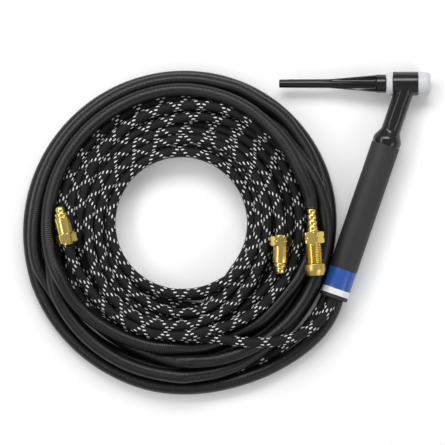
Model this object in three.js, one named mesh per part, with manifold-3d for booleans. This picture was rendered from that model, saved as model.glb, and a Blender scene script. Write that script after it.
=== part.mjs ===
// A water-cooled TIG torch with its three hoses, lying on a flat surface (z = 0).
// Millimetres, +Z up. +X points out of the torch's front, +Y from the handle's end to the head.
// The origin is the middle of the torch's own footprint, the hoses and their fittings left out.

import * as THREE from "three";
import { mergeVertices } from "three/addons/utils/BufferGeometryUtils.js";
import Module from "manifold-3d";

const wasm = await Module();
wasm.setup();

// ---- Driving dimensions ----

const GAP = 0.3; // between pieces that touch

// Where the neck's axis meets the head's axis, and how far the handle leans from -Y towards -X.
const JOINT_X = 52.0;
const JOINT_Y = 103.5;
const HANDLE_LEAN = THREE.MathUtils.degToRad(18.97);

const HANDLE_R = 14.35;
const HANDLE_BORE_R = 12.85;
const HANDLE_START = 64.5; // along the neck's axis, from the head's axis
const HANDLE_END = 226.8;
const LABEL_START = 196.3;
const LABEL_LENGTH = 26.6;
const LABEL_THICK = 0.25;
const LABEL_RECESS = 0.6;

const NECK_R = 9.6;
const NECK_BORE_R = 7.0;
const FLARE_START = 48.2;
const FLARE_LENGTH = 12.0;
const SKIRT_END = HANDLE_START - GAP;
const PLUG_R = HANDLE_BORE_R - GAP;
const PLUG_END = 78.0;
const PLUG_BORE_R = 10.6;

// Along the head's axis, from the neck's axis.
const HEAD_R = 11.9;
const HEAD_BACK = -13.9;
const HEAD_FRONT = 11.5;
const HEAD_BORE_R = 8.1;
const BODY_R = 7.8;
const BODY_BACK = -11.4;
const BODY_FRONT = 9.0;
const BODY_BORE_R = 5.0;
const BODY_BACK_BORE_R = 5.75;
const SPIGOT_R = 7.8;
const SPIGOT_LENGTH = 2.0;
const REAR_RING_LENGTH = 6.1;
const REAR_RING_R = 11.7;
const FRONT_RING_LENGTH = 11.9;
const FRONT_RING_R = 11.5;
const FRONT_BORE_R = 6.3;

const CAP_LENGTH = 107.1;
const CAP_TIP_R = 4.2;
const CAP_SHAFT_R = 4.6;
const CAP_GRIP_R = 9.1;
const CAP_SHANK_R = 5.4;
const CAP_SHANK_LENGTH = 10.6;
const CAP_FLUTES = 6;
const FLUTE_R = 3.0;
const O_RING_R = 0.9;

const POWER_HOSE_R = 6.75;
const BRAID_HOSE_R = 4.9;
const POWER_TUBE_R = 3.2;
const THIN_TUBE_R = 2.2;
const CLAMP_WALL = 0.35;
const CLAMP_LENGTH = 18.0;

// Each hose's place in the handle's cross-section: distance from the axis and angle from the left.
const POWER_PLACE = { out: 5.6, angle: THREE.MathUtils.degToRad(225) };
const GAS_PLACE = { out: 7.57, angle: THREE.MathUtils.degToRad(88.4) };
const WATER_PLACE = { out: 7.57, angle: THREE.MathUtils.degToRad(1.6) };
const POWER_HOSE_START = 101.3;
const WATER_HOSE_START = 121.3;
const GAS_HOSE_START = 141.3;

// The three coils, as rings that stand on the floor.
const POWER_COIL = { x: -177.3, y: -38.4, inner: 125.0, outer: 154.5, height: 28.0 };
const GAS_COIL = { x: -174.8, y: -36.2, inner: 93.3, outer: 120.3, height: 23.0 };
const WATER_COIL = { x: -174.8, y: -36.2, inner: 66.0, outer: 93.0, height: 23.0 };
const COIL_EDGE = 4.0;

const HEX_R = 10.97; // corner radius of a nut 19 mm across its flats
const ROUND = 28; // facets round a piece
const FINE = 36; // facets round a large piece
const COIL_FACETS = 60;
const HOSE_SIDES = 10;
const LEAD_STEPS = 22;
const TAIL_STEPS = 14;

// ---- Materials ----

function finish(colour, roughness, metalness = 0) {
  return new THREE.MeshStandardMaterial({ color: colour, roughness, metalness });
}

const GLOSS_BLACK = finish(0x141416, 0.25);
const HANDLE_BLACK = finish(0x3c3b3d, 0.7);
const WHITE = finish(0xe4e4e8, 0.5);
const BRASS = finish(0xc9a74c, 0.3, 1);
const DULL_BRASS = finish(0xb59a45, 0.5, 1);
const COPPER = finish(0xb87348, 0.35, 1);
const LABEL_BLUE = finish(0x2a56a8, 0.35);
const HOSE_RUBBER = finish(0x1e1e20, 0.6);
const BRAID = finish(0x18181a, 0.85);
const SEAL_RUBBER = finish(0x101012, 0.6);

// ---- Shape helpers ----

// A closed geometry as a manifold-3d solid with its faces pointing out.
function solidOf(geometry) {
  const bare = geometry.clone();
  bare.deleteAttribute("normal");
  bare.deleteAttribute("uv");
  const merged = mergeVertices(bare, 1e-4);
  const corners = merged.index.array;
  const kept = [];
  for (let i = 0; i < corners.length; i += 3) {
    const [a, b, c] = [corners[i], corners[i + 1], corners[i + 2]];
    if (a !== b && b !== c && c !== a) kept.push(a, b, c);
  }
  const build = (triVerts) =>
    new wasm.Manifold(
      new wasm.Mesh({
        numProp: 3,
        vertProperties: merged.attributes.position.array,
        triVerts: new Uint32Array(triVerts),
      }),
    );
  const made = build(kept);
  return made.volume() > 0 ? made : build(kept.reverse());
}

// A manifold-3d solid as a three.js geometry.
function geometryOf(solid) {
  const { numProp, vertProperties, triVerts, numVert } = solid.getMesh();
  const places = new Float32Array(numVert * 3);
  for (let i = 0; i < numVert; i++) {
    places.set(vertProperties.subarray(i * numProp, i * numProp + 3), i * 3);
  }
  const geometry = new THREE.BufferGeometry();
  geometry.setAttribute("position", new THREE.BufferAttribute(places, 3));
  geometry.setIndex(new THREE.BufferAttribute(triVerts, 1));
  geometry.computeVertexNormals();
  return geometry;
}

// A turned solid about the Y axis; each profile point is [radius, y].
function turned(profile, facets = ROUND) {
  const points = profile.map(([radius, y]) => new THREE.Vector2(radius, y));
  return solidOf(new THREE.LatheGeometry(points, facets));
}

// A turned ring: its profile closes on itself and never reaches the axis.
function turnedRing(profile, facets = ROUND) {
  return turned([...profile, profile[0]], facets);
}

// A straight sleeve about Y.
function sleeve(inner, outer, low, high, facets = ROUND) {
  return turnedRing([[inner, low], [outer, low], [outer, high], [inner, high]], facets);
}

// A rod about Y.
function rod(radius, low, high, facets = ROUND) {
  return turned([[0, low], [radius, low], [radius, high], [0, high]], facets);
}

// A hexagonal prism about Y, with a flat on top.
function hexagon(cornerRadius, low, high) {
  const prism = new THREE.CylinderGeometry(cornerRadius, cornerRadius, high - low, 6);
  prism.rotateY(Math.PI / 6);
  prism.translate(0, (low + high) / 2, 0);
  return solidOf(prism);
}

// A round bar along a smooth curve through the points.
function bar(radius, points, sides, steps) {
  const section = new THREE.Shape();
  section.absarc(0, 0, radius, 0, Math.PI * 2);
  const curve = new THREE.CatmullRomCurve3(points, false, "centripetal");
  const geometry = new THREE.ExtrudeGeometry(section, {
    steps,
    curveSegments: sides / 2, // an arc's points are twice its segments
    bevelEnabled: false,
    extrudePath: curve,
  });
  return solidOf(geometry);
}

function piece(name, solid, material) {
  const mesh = new THREE.Mesh(geometryOf(solid), material);
  mesh.name = name;
  return mesh;
}

// Points [x, y, z] as vectors.
function route(points) {
  return points.map(([x, y, z]) => new THREE.Vector3(x, y, z));
}

// ---- Frames ----

const torch = new THREE.Group();

// The head's frame: local +Y is the torch's +X, from the cap to the front.
const head = new THREE.Group();
head.position.set(JOINT_X, JOINT_Y, HANDLE_R);
head.rotation.z = -Math.PI / 2;
torch.add(head);

// The back cap and its seal turn and travel along the head's axis.
const capGroup = new THREE.Group();
head.add(capGroup);

// The grip's frame: local +Y runs down the neck and the handle, local +X points to the left.
const grip = new THREE.Group();
grip.position.copy(head.position);
grip.rotation.z = Math.PI - HANDLE_LEAN;
torch.add(grip);
torch.updateMatrixWorld(true);

// A hose's place in the handle's cross-section, at a distance down the grip's axis.
function inGrip(place, along) {
  const across = place.out * Math.cos(place.angle);
  const up = place.out * Math.sin(place.angle);
  return new THREE.Vector3(across, along, up);
}

// The same place in the torch's frame.
function gripPoint(place, along) {
  return grip.localToWorld(inGrip(place, along));
}

// ---- Head ----

function neckAndFlare() {
  const profile = [[0, 0], [NECK_R, 0], [NECK_R, FLARE_START]];
  const steps = 8;
  for (let i = 1; i <= steps; i++) {
    const share = i / steps;
    const rise = (1 - Math.cos(Math.PI * share)) / 2;
    profile.push([NECK_R + (HANDLE_R - NECK_R) * rise, FLARE_START + FLARE_LENGTH * share]);
  }
  profile.push([HANDLE_R, SKIRT_END], [PLUG_R, SKIRT_END], [PLUG_R, PLUG_END], [0, PLUG_END]);
  return turned(profile, FINE);
}

function neckChannel() {
  const wide = FLARE_START + 9;
  const profile = [
    [0, 0],
    [NECK_BORE_R, 0],
    [NECK_BORE_R, FLARE_START],
    [PLUG_BORE_R, wide],
    [PLUG_BORE_R, PLUG_END + 1],
    [0, PLUG_END + 1],
  ];
  return turned(profile);
}

// A solid of the grip's frame, turned into the head's frame.
function fromGripToHead(solid) {
  const geometry = geometryOf(solid);
  geometry.rotateZ(grip.rotation.z - head.rotation.z);
  return solidOf(geometry);
}

function headMoulding() {
  const edge = 0.6;
  const barrel = turned(
    [
      [0, HEAD_BACK],
      [HEAD_R - edge, HEAD_BACK],
      [HEAD_R, HEAD_BACK + edge],
      [HEAD_R, HEAD_FRONT - edge],
      [HEAD_R - edge, HEAD_FRONT],
      [0, HEAD_FRONT],
    ],
    FINE,
  );
  const bore = rod(HEAD_BORE_R, HEAD_BACK - 1, HEAD_FRONT + 1);
  return barrel
    .add(fromGripToHead(neckAndFlare()))
    .subtract(bore)
    .subtract(fromGripToHead(neckChannel()));
}

function torchBody() {
  const shoulder = -2.0;
  return turnedRing([
    [BODY_BACK_BORE_R, BODY_BACK],
    [BODY_R, BODY_BACK],
    [BODY_R, BODY_FRONT],
    [BODY_BORE_R, BODY_FRONT],
    [BODY_BORE_R, shoulder + 1],
    [BODY_BACK_BORE_R, shoulder],
  ]);
}

const REAR_RING_BACK = HEAD_BACK - GAP - REAR_RING_LENGTH;
const SEAT_DEPTH = 2.6;

function rearInsulator() {
  const face = HEAD_BACK - GAP;
  return turnedRing([
    [BODY_BACK_BORE_R, REAR_RING_BACK + SEAT_DEPTH],
    [BODY_BACK_BORE_R + 2.4, REAR_RING_BACK + SEAT_DEPTH],
    [BODY_BACK_BORE_R + 2.4, REAR_RING_BACK],
    [REAR_RING_R - 1.3, REAR_RING_BACK],
    [REAR_RING_R, REAR_RING_BACK + 1.7],
    [REAR_RING_R, face],
    [SPIGOT_R, face],
    [SPIGOT_R, face + SPIGOT_LENGTH],
    [BODY_BACK_BORE_R, face + SPIGOT_LENGTH],
  ]);
}

function frontInsulator() {
  const face = HEAD_FRONT + GAP;
  const end = face + FRONT_RING_LENGTH;
  const round = 4.2;
  const steps = 5;
  const profile = [
    [FRONT_BORE_R, face - SPIGOT_LENGTH],
    [SPIGOT_R, face - SPIGOT_LENGTH],
    [SPIGOT_R, face],
    [FRONT_RING_R, face],
  ];
  for (let i = 0; i <= steps; i++) {
    const turn = (Math.PI / 2) * (i / steps);
    const radius = FRONT_RING_R - round * 0.62 * (1 - Math.cos(turn));
    profile.push([radius, end - round * (1 - Math.sin(turn))]);
  }
  profile.push([FRONT_BORE_R, end]);
  return turnedRing(profile);
}

head.add(piece("head_moulding", headMoulding(), GLOSS_BLACK));
head.add(piece("torch_body", torchBody(), BRASS));
head.add(piece("rear_insulator", rearInsulator(), WHITE));
head.add(piece("front_insulator", frontInsulator(), WHITE));

// ---- Back cap ----

function flute(angle, from, to) {
  const length = to - from - 2 * FLUTE_R;
  const cutter = new THREE.CapsuleGeometry(FLUTE_R, length, 3, 10);
  cutter.translate(0, (from + to) / 2, CAP_SHAFT_R + 0.2 + FLUTE_R);
  cutter.rotateY(angle);
  return solidOf(cutter);
}

function backCap() {
  const shoulder = REAR_RING_BACK - GAP;
  const tip = shoulder - CAP_LENGTH;
  const gripStart = shoulder - 12.5;
  const coneStart = gripStart - 46;
  const edge = 0.7;
  const shankEnd = shoulder + CAP_SHANK_LENGTH;
  let cap = turned(
    [
      [0, tip],
      [CAP_TIP_R - edge, tip],
      [CAP_TIP_R, tip + edge],
      [CAP_SHAFT_R, coneStart],
      [CAP_GRIP_R, gripStart],
      [CAP_GRIP_R, shoulder],
      [CAP_SHANK_R, shoulder],
      [CAP_SHANK_R, shankEnd],
      [0, shankEnd],
    ],
    36,
  );
  for (let i = 0; i < CAP_FLUTES; i++) {
    const angle = (Math.PI * 2 * (i + 0.5)) / CAP_FLUTES;
    cap = cap.subtract(flute(angle, coneStart - 3, gripStart + 3.5));
  }
  return cap;
}

function backCapSeal() {
  const ring = new THREE.TorusGeometry(CAP_SHANK_R + GAP + O_RING_R, O_RING_R, 8, 24);
  ring.rotateX(Math.PI / 2);
  ring.translate(0, REAR_RING_BACK + SEAT_DEPTH - GAP - O_RING_R, 0);
  return solidOf(ring);
}

capGroup.add(piece("back_cap", backCap(), GLOSS_BLACK));
capGroup.add(piece("back_cap_o_ring", backCapSeal(), SEAL_RUBBER));

// ---- Handle ----

function handleTube() {
  const edge = 0.8;
  const recess = HANDLE_R - LABEL_RECESS;
  const labelEnd = LABEL_START + LABEL_LENGTH;
  return turnedRing(
    [
      [HANDLE_BORE_R, HANDLE_START],
      [HANDLE_R, HANDLE_START],
      [HANDLE_R, LABEL_START - GAP],
      [recess, LABEL_START - GAP],
      [recess, labelEnd + GAP],
      [HANDLE_R, labelEnd + GAP],
      [HANDLE_R, HANDLE_END - edge],
      [HANDLE_R - edge, HANDLE_END],
      [HANDLE_BORE_R, HANDLE_END],
    ],
    FINE,
  );
}

function labelWrap() {
  const outer = HANDLE_R - 0.05;
  return sleeve(outer - LABEL_THICK, outer, LABEL_START, LABEL_START + LABEL_LENGTH, FINE);
}

grip.add(piece("handle", handleTube(), HANDLE_BLACK));
grip.add(piece("label_wrap", labelWrap(), LABEL_BLUE));

// ---- Tubes from the torch body to the hoses ----

const TUBE_START = 11.0;
const BARB_RIDGES = 4;

// A tube runs straight down the neck at `near`, spreads to `far`, and ends in a ridged barb.
function barbedTube(radius, near, far, hoseStart, barbRadius) {
  const barbStart = hoseStart - GAP - CLAMP_LENGTH;
  const bend = FLARE_START + 6;
  const path = [
    inGrip(near, TUBE_START),
    inGrip(near, 30),
    inGrip(near, bend),
    inGrip(far, PLUG_END - 2),
    inGrip(far, barbStart + 1),
  ];
  const tube = bar(radius, path, 12, 18);
  const ridge = (CLAMP_LENGTH - 1) / BARB_RIDGES;
  const profile = [[0, barbStart]];
  for (let i = 0; i < BARB_RIDGES; i++) {
    profile.push([barbRadius, barbStart + i * ridge]);
    profile.push([barbRadius - 0.6, barbStart + (i + 1) * ridge]);
  }
  profile.push([0, barbStart + BARB_RIDGES * ridge]);
  const barb = geometryOf(turned(profile, 16));
  const end = inGrip(far, 0);
  barb.translate(end.x, 0, end.z);
  return tube.add(solidOf(barb));
}

function placedSleeve(place, inner, outer, low, high) {
  const ring = geometryOf(sleeve(inner, outer, low, high, 20));
  const centre = inGrip(place, 0);
  ring.translate(centre.x, 0, centre.z);
  return solidOf(ring);
}

// The clamp ends where the hose's own solid starts, over the barb.
function hoseClamp(place, hoseRadius, barbRadius, hoseStart) {
  const end = hoseStart - GAP;
  return placedSleeve(place, barbRadius + GAP, hoseRadius + CLAMP_WALL, end - CLAMP_LENGTH, end);
}

const POWER_NEAR = { out: 2.9, angle: POWER_PLACE.angle };
const GAS_NEAR = { out: 4.4, angle: GAS_PLACE.angle };
const WATER_NEAR = { out: 4.4, angle: WATER_PLACE.angle };
const POWER_BARB_R = 4.4;
const THIN_BARB_R = 3.2;

const TUBES = [
  ["power", POWER_TUBE_R, POWER_NEAR, POWER_PLACE, POWER_HOSE_START, POWER_BARB_R, POWER_HOSE_R],
  ["water", THIN_TUBE_R, WATER_NEAR, WATER_PLACE, WATER_HOSE_START, THIN_BARB_R, BRAID_HOSE_R],
  ["gas", THIN_TUBE_R, GAS_NEAR, GAS_PLACE, GAS_HOSE_START, THIN_BARB_R, BRAID_HOSE_R],
];
for (const [name, radius, near, far, hoseStart, barbRadius, hoseRadius] of TUBES) {
  grip.add(piece(`${name}_tube`, barbedTube(radius, near, far, hoseStart, barbRadius), COPPER));
  const clamp = hoseClamp(far, hoseRadius, barbRadius, hoseStart);
  grip.add(piece(`${name}_hose_clamp`, clamp, BRASS));
}

// ---- Coils ----

function coil({ inner, outer, height }) {
  const e = COIL_EDGE;
  return turnedRing(
    [
      [inner + e, 0],
      [outer - e, 0],
      [outer, e],
      [outer, height - e],
      [outer - e, height],
      [inner + e, height],
      [inner, height - e],
      [inner, e],
    ],
    COIL_FACETS,
  );
}

function placedCoil(name, ring, material) {
  const mesh = piece(name, coil(ring), material);
  mesh.rotation.x = Math.PI / 2;
  mesh.position.set(ring.x, ring.y, 0);
  torch.add(mesh);
}

placedCoil("power_hose_coil", POWER_COIL, HOSE_RUBBER);
placedCoil("gas_hose_coil", GAS_COIL, BRAID);
placedCoil("water_hose_coil", WATER_COIL, BRAID);

// ---- Fittings ----

// Each fitting's frame: local +Y points out of the nose, and y = 0 is the nut's back face.
function fittingFrame(x, y, z, lean) {
  const group = new THREE.Group();
  group.position.set(x, y, z);
  group.rotation.z = lean;
  torch.add(group);
  return group;
}

const HEX_LENGTH = 9.5;
const BARREL_R = 7.9;
const BARREL_LENGTH = 17.0;
const NUT_BORE_R = 5.2;
const FERRULE_DEPTH = 8.0;
const FERRULE_R = 5.9;

function smallNut() {
  const end = HEX_LENGTH + BARREL_LENGTH;
  const barrel = turned([
    [0, HEX_LENGTH - 1],
    [BARREL_R, HEX_LENGTH - 1],
    [BARREL_R, end - 0.8],
    [BARREL_R - 0.8, end],
    [0, end],
  ]);
  return hexagon(HEX_R, 0, HEX_LENGTH)
    .add(barrel)
    .subtract(rod(NUT_BORE_R, -1, end + 1))
    .subtract(rod(FERRULE_R + GAP, -1, FERRULE_DEPTH + GAP));
}

const NIPPLE_BORE_R = 1.6;
const NOSE_R = 4.95;

// The stem passes through the nut; the collar and the ball nose stand in front of it.
function smallNipple() {
  const stemR = NUT_BORE_R - GAP;
  const front = HEX_LENGTH + BARREL_LENGTH + GAP;
  const collarEnd = front + 4.2;
  const noseEnd = front + 10.7;
  const profile = [
    [NIPPLE_BORE_R, FERRULE_DEPTH],
    [stemR, FERRULE_DEPTH],
    [stemR, front],
    [6.2, front],
    [6.85, front + 0.7],
    [6.85, collarEnd - 1],
    [6.0, collarEnd],
    [NOSE_R, collarEnd],
  ];
  const steps = 5;
  const round = 4.2;
  for (let i = 0; i <= steps; i++) {
    const turn = (Math.PI / 2) * (i / steps);
    const radius = 2.2 + (NOSE_R - 2.2) * Math.cos(turn);
    profile.push([radius, noseEnd - round + round * Math.sin(turn)]);
  }
  profile.push([NIPPLE_BORE_R, noseEnd]);
  return turnedRing(profile, 20);
}

function endFerrule() {
  return sleeve(BRAID_HOSE_R + 0.2, FERRULE_R, -1.5, FERRULE_DEPTH - GAP, 24);
}

function smallFitting(name, frame) {
  frame.add(piece(`${name}_nut`, smallNut(), BRASS));
  frame.add(piece(`${name}_nipple`, smallNipple(), BRASS));
  frame.add(piece(`${name}_end_ferrule`, endFerrule(), BRASS));
}

const WATER_FITTING = { x: -74.0, y: -49.4, z: 34.8, lean: Math.PI - 0.018 };
const GAS_FITTING = { x: -287.3, y: -55.9, z: 38.5, lean: 0.226 };
const waterEnd = fittingFrame(...Object.values(WATER_FITTING));
const gasEnd = fittingFrame(...Object.values(GAS_FITTING));
smallFitting("water", waterEnd);
smallFitting("gas", gasEnd);

// The power fitting: y = 0 is where the ribbed stem leaves the hose.
const STEM_LENGTH = 23.0;
const STEM_RIBS = 4;
const POWER_HEX_START = 24.0;
const POWER_HEX_LENGTH = 11.6;
const POWER_HEX_R = 11.65;
const SHANK_R = 9.0;
const SHANK_END = 59.2;
const THREAD_CAP_R = 10.45;
const THREAD_CAP_END = 67.8;
const THREAD_CAP_LIP = 3.0; // how far the thread cap reaches back over the shank

function powerNipple() {
  const stemR = NUT_BORE_R - GAP;
  const seat = SHANK_END + GAP;
  const profile = [[2.0, 0]];
  const pitch = STEM_LENGTH / STEM_RIBS;
  for (let i = 0; i < STEM_RIBS; i++) {
    const swell = 4.85 + (0.7 * i) / (STEM_RIBS - 1);
    profile.push([swell - 0.9, i * pitch + 0.3]);
    profile.push([swell, i * pitch + pitch * 0.35]);
    profile.push([swell, i * pitch + pitch * 0.7]);
  }
  profile.push(
    [4.2, STEM_LENGTH - 0.6],
    [6.6, STEM_LENGTH - 0.6],
    [6.6, POWER_HEX_START - GAP],
    [stemR, POWER_HEX_START - GAP],
    [stemR, seat],
    [6.6, seat],
    [6.6, seat + 2],
    [4.4, seat + 3.6],
    [2.4, seat + 5.2],
    [2.0, seat + 5.2],
  );
  return turnedRing(profile, 20);
}

function powerNut() {
  const hexEnd = POWER_HEX_START + POWER_HEX_LENGTH;
  const shank = turned([
    [0, hexEnd - 1],
    [SHANK_R, hexEnd - 1],
    [SHANK_R, SHANK_END - 0.8],
    [SHANK_R - 0.8, SHANK_END],
    [0, SHANK_END],
  ]);
  return hexagon(POWER_HEX_R, POWER_HEX_START, hexEnd)
    .add(shank)
    .subtract(rod(NUT_BORE_R, POWER_HEX_START - 1, SHANK_END + 1));
}

function threadCap() {
  const inner = SHANK_R + GAP;
  const start = SHANK_END - THREAD_CAP_LIP;
  const floor = THREAD_CAP_END - 2.6;
  return turned([
    [0, floor],
    [inner, floor],
    [inner, start],
    [THREAD_CAP_R - 0.6, start],
    [THREAD_CAP_R, start + 0.6],
    [THREAD_CAP_R, THREAD_CAP_END - 5.4],
    [THREAD_CAP_R - 2.2, THREAD_CAP_END],
    [0, THREAD_CAP_END],
  ]);
}

const POWER_FITTING = { x: -43.6, y: -20.9, z: 40.2, lean: Math.PI + 0.067 };
const powerEnd = fittingFrame(...Object.values(POWER_FITTING));
powerEnd.add(piece("power_nipple", powerNipple(), BRASS));
powerEnd.add(piece("power_nut", powerNut(), BRASS));
powerEnd.add(piece("power_thread_cap", threadCap(), DULL_BRASS));

// ---- Hoses outside their coils ----

torch.updateMatrixWorld(true);

// The height of the power hose's centre where it lies on the floor.
const POWER_LOW = POWER_HOSE_R + 0.15;

// From the handle's mouth, round the outside of the power coil, to where it joins the coil.
const POWER_LEAD = route([
  [-21.0, -125.2, 8.6],
  [-31.3, -141.4, 7.2],
  [-45.3, -155.9, POWER_LOW],
  [-63.8, -169.4, POWER_LOW],
  [-85.3, -181.2, POWER_LOW],
  [-109.8, -190.9, POWER_LOW],
  [-135.8, -197.9, POWER_LOW],
  [-162.8, -201.3, POWER_LOW],
]);

// From the handle's mouth, up over the power coil, and onto the gas coil.
const GAS_LEAD = route([
  [-24.6, -119.3, 24.6],
  [-31.5, -132.0, 29.5],
  [-45.8, -144.5, 34.5],
  [-64.8, -152.4, 36.6],
  [-86.8, -155.9, 36.6],
  [-109.8, -155.9, 36.6],
  [-133.3, -151.9, 35.2],
  [-152.0, -146.0, 32.6],
]);

// From the handle's mouth down to the floor and up against the side of the power coil.
const WATER_LEAD = route([
  [-34.0, -120.6, 11.0],
  [-42.5, -133.6, 6.8],
  [-54.5, -147.0, 5.2],
  [-69.0, -158.4, 5.1],
]);

// The last stretch of each hose, lying on its coil, up to its fitting.
const POWER_TAIL = route([
  [-104.0, 76.4, 38.1],
  [-85.0, 60.4, 38.2],
  [-68.5, 41.0, 38.4],
  [-56.0, 18.0, 39.0],
  [-48.5, -3.0, 39.9],
]);
const WATER_TAIL = route([
  [-124.3, 51.3, 30.0],
  [-103.4, 35.2, 30.2],
  [-87.3, 14.3, 31.4],
  [-77.6, -10.1, 33.0],
  [-74.4, -30.0, 34.5],
]);
const GAS_TAIL = route([
  [-239.6, -128.8, 32.3],
  [-261.4, -108.8, 32.4],
  [-277.2, -83.9, 35.0],
  [-284.2, -67.5, 38.1],
]);

// Where a tail meets its fitting: a point on the fitting's axis, behind y = 0 by `back`.
function behind(frame, back) {
  return frame.localToWorld(new THREE.Vector3(0, -back, 0));
}

const FERRULE_REACH = FERRULE_DEPTH - GAP; // the braided hoses run this far into their nuts

function lead(place, start, points) {
  const inside = [start, 170, 210, HANDLE_END + 4].map((along) => gripPoint(place, along));
  return [...inside, ...points];
}

const LEADS = [
  ["power", POWER_HOSE_R, POWER_PLACE, POWER_HOSE_START, POWER_LEAD, HOSE_RUBBER],
  ["gas", BRAID_HOSE_R, GAS_PLACE, GAS_HOSE_START, GAS_LEAD, BRAID],
  ["water", BRAID_HOSE_R, WATER_PLACE, WATER_HOSE_START, WATER_LEAD, BRAID],
];
for (const [name, radius, place, start, points, material] of LEADS) {
  const hose = bar(radius, lead(place, start, points), HOSE_SIDES, LEAD_STEPS);
  torch.add(piece(`${name}_hose_lead`, hose, material));
}

function tail(points, frame, reach) {
  return [...points, behind(frame, 2), behind(frame, -reach)];
}

const TAILS = [
  ["power", POWER_HOSE_R, POWER_TAIL, powerEnd, -GAP, HOSE_RUBBER],
  ["water", BRAID_HOSE_R, WATER_TAIL, waterEnd, FERRULE_REACH, BRAID],
  ["gas", BRAID_HOSE_R, GAS_TAIL, gasEnd, FERRULE_REACH, BRAID],
];
for (const [name, radius, points, frame, reach, material] of TAILS) {
  const hose = bar(radius, tail(points, frame, reach), HOSE_SIDES, TAIL_STEPS);
  torch.add(piece(`${name}_hose_tail`, hose, material));
}

export default torch;
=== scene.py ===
"""The looks of a water-cooled TIG torch, lying on a table with its three hoses coiled beside it."""

import math

import bmesh
import bpy
import numpy as np
from mathutils import Matrix, Vector


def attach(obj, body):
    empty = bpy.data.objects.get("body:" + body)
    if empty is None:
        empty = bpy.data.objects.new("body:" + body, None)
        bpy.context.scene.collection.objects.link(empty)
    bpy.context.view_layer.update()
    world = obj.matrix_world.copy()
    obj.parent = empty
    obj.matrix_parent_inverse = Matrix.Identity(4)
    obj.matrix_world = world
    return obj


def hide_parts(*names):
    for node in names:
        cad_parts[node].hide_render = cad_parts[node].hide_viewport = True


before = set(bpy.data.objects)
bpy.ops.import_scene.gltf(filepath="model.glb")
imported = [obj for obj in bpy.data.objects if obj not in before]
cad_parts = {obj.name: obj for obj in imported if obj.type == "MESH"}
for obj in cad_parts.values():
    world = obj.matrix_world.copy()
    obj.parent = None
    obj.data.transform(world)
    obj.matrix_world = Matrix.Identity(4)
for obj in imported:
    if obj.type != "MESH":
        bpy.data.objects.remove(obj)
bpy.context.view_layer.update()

MM = 0.001

# ---- Frames of the CAD model, in millimetres and radians ----

JOINT = (52.0, 103.5, 14.35)
LEAN = math.radians(18.97)
POWER_FITTING = ((-43.6, -20.9, 40.2), math.pi + 0.067)
WATER_FITTING = ((-74.0, -49.4, 34.8), math.pi - 0.018)
GAS_FITTING = ((-287.3, -55.9, 38.5), 0.226)


def frame_at(place, turn):
    """A frame at a place in mm, turned about Z; its local Y is the axis that pieces are made about."""
    return Matrix.Translation(Vector(place) * MM) @ Matrix.Rotation(turn, 4, "Z")


HEAD = frame_at(JOINT, -math.pi / 2)
GRIP = frame_at(JOINT, math.pi - LEAN)
POWER_END = frame_at(*POWER_FITTING)
WATER_END = frame_at(*WATER_FITTING)
GAS_END = frame_at(*GAS_FITTING)

# ---- Camera, light and floor ----

VIEW_WIDTH = 0.445
VIEW_FROM = (-0.1323, -0.0354, 1.5)
AIM = (-0.13, -0.04, 0.0)


def camera():
    """Straight down, without perspective."""
    data = bpy.data.cameras.new("camera")
    data.type = "ORTHO"
    data.ortho_scale = VIEW_WIDTH
    data.clip_end = 20
    looking = bpy.data.objects.new("camera", data)
    looking.location = VIEW_FROM
    bpy.context.scene.collection.objects.link(looking)
    bpy.context.scene.camera = looking


def softbox(name, place, long, wide, power):
    data = bpy.data.lights.new(name, "AREA")
    data.shape = "RECTANGLE"
    data.size = long
    data.size_y = wide
    data.energy = power
    lamp = bpy.data.objects.new(name, data)
    lamp.location = place
    lamp.rotation_euler = (Vector(AIM) - Vector(place)).to_track_quat("-Z", "Y").to_euler()
    bpy.context.scene.collection.objects.link(lamp)


def studio():
    """A grey tent that is brightest at its sides, with a long strip light behind and one on the left."""
    bpy.context.scene.view_settings.view_transform = "Standard"
    world = bpy.data.worlds.new("studio")
    bpy.context.scene.world = world
    world.use_nodes = True
    nodes, links = world.node_tree.nodes, world.node_tree.links
    ways = nodes.new("ShaderNodeTexCoord")
    parts = nodes.new("ShaderNodeSeparateXYZ")
    ramp = nodes.new("ShaderNodeValToRGB")
    stops = ramp.color_ramp.elements
    stops[0].color = (0.6, 0.6, 0.61, 1)
    stops[1].color = (0.66, 0.66, 0.67, 1)
    stops.new(0.6).color = (1.0, 1.0, 1.0, 1)
    links.new(ways.outputs["Generated"], parts.inputs[0])
    links.new(parts.outputs["Z"], ramp.inputs[0])
    links.new(ramp.outputs["Color"], nodes["Background"].inputs["Color"])
    nodes["Background"].inputs["Strength"].default_value = 0.52
    softbox("back_strip", (-0.25, 1.15, 1.3), 1.9, 0.6, 23.0)
    softbox("left_strip", (-1.2, -0.05, 1.2), 1.6, 0.3, 7.0)
    softbox("fill", (1.3, -1.0, 1.2), 1.2, 0.9, 8.0)


def floor():
    mesh = bpy.data.meshes.new("floor")
    half, low = 4.0, -0.0002
    corners = [(-half, -half, low), (half, -half, low), (half, half, low), (-half, half, low)]
    mesh.from_pydata(corners, [], [(0, 1, 2, 3)])
    plane = bpy.data.objects.new("floor", mesh)
    bpy.context.scene.collection.objects.link(plane)
    paper = bpy.data.materials.new("paper")
    paper.use_nodes = True
    shader = paper.node_tree.nodes["Principled BSDF"]
    shader.inputs["Base Color"].default_value = (0.9, 0.9, 0.9, 1)
    shader.inputs["Roughness"].default_value = 0.9
    shader.inputs["Emission Color"].default_value = (1.0, 1.0, 1.0, 1)
    shader.inputs["Emission Strength"].default_value = 0.05
    mesh.materials.append(paper)


camera()
studio()
floor()

# ---- Materials ----


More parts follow.
